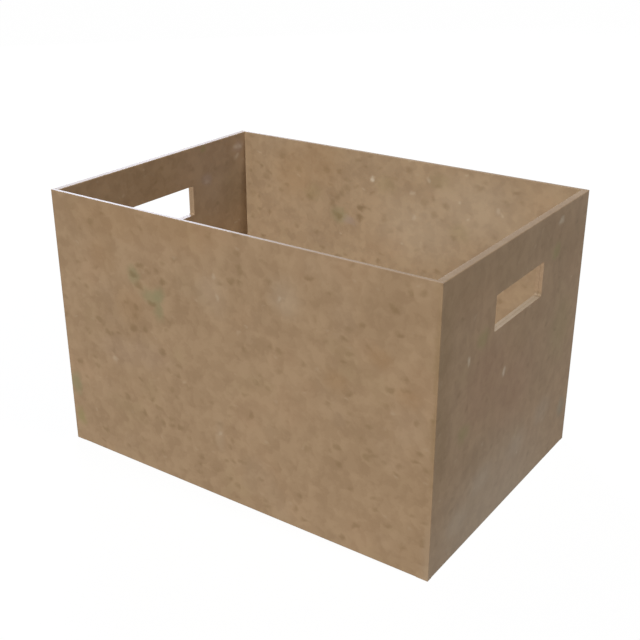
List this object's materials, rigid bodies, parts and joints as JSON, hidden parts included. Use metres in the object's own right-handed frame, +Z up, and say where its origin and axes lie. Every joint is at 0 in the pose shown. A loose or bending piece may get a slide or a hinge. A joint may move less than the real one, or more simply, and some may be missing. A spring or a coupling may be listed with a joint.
{
  "type": "archive box",
  "caption": "Open-topped rectangular board box, folded and glued from one sheet, with doubled end walls and a hand hole in each end, for storing and carrying files.",
  "frame": {"origin": "on the ground in the middle of the box's footprint", "axes": "+X along the length towards the right end, +Y across the width towards the back, +Z up"},
  "size_m": [0.4, 0.275, 0.257],
  "materials": {
    "kraft_board": "brown kraft-lined board, matt and mottled, with paler cut edges and a few stains"
  },
  "bodies": {
    "root": {"folded_box": "kraft_board"}
  },
  "joints": []
}
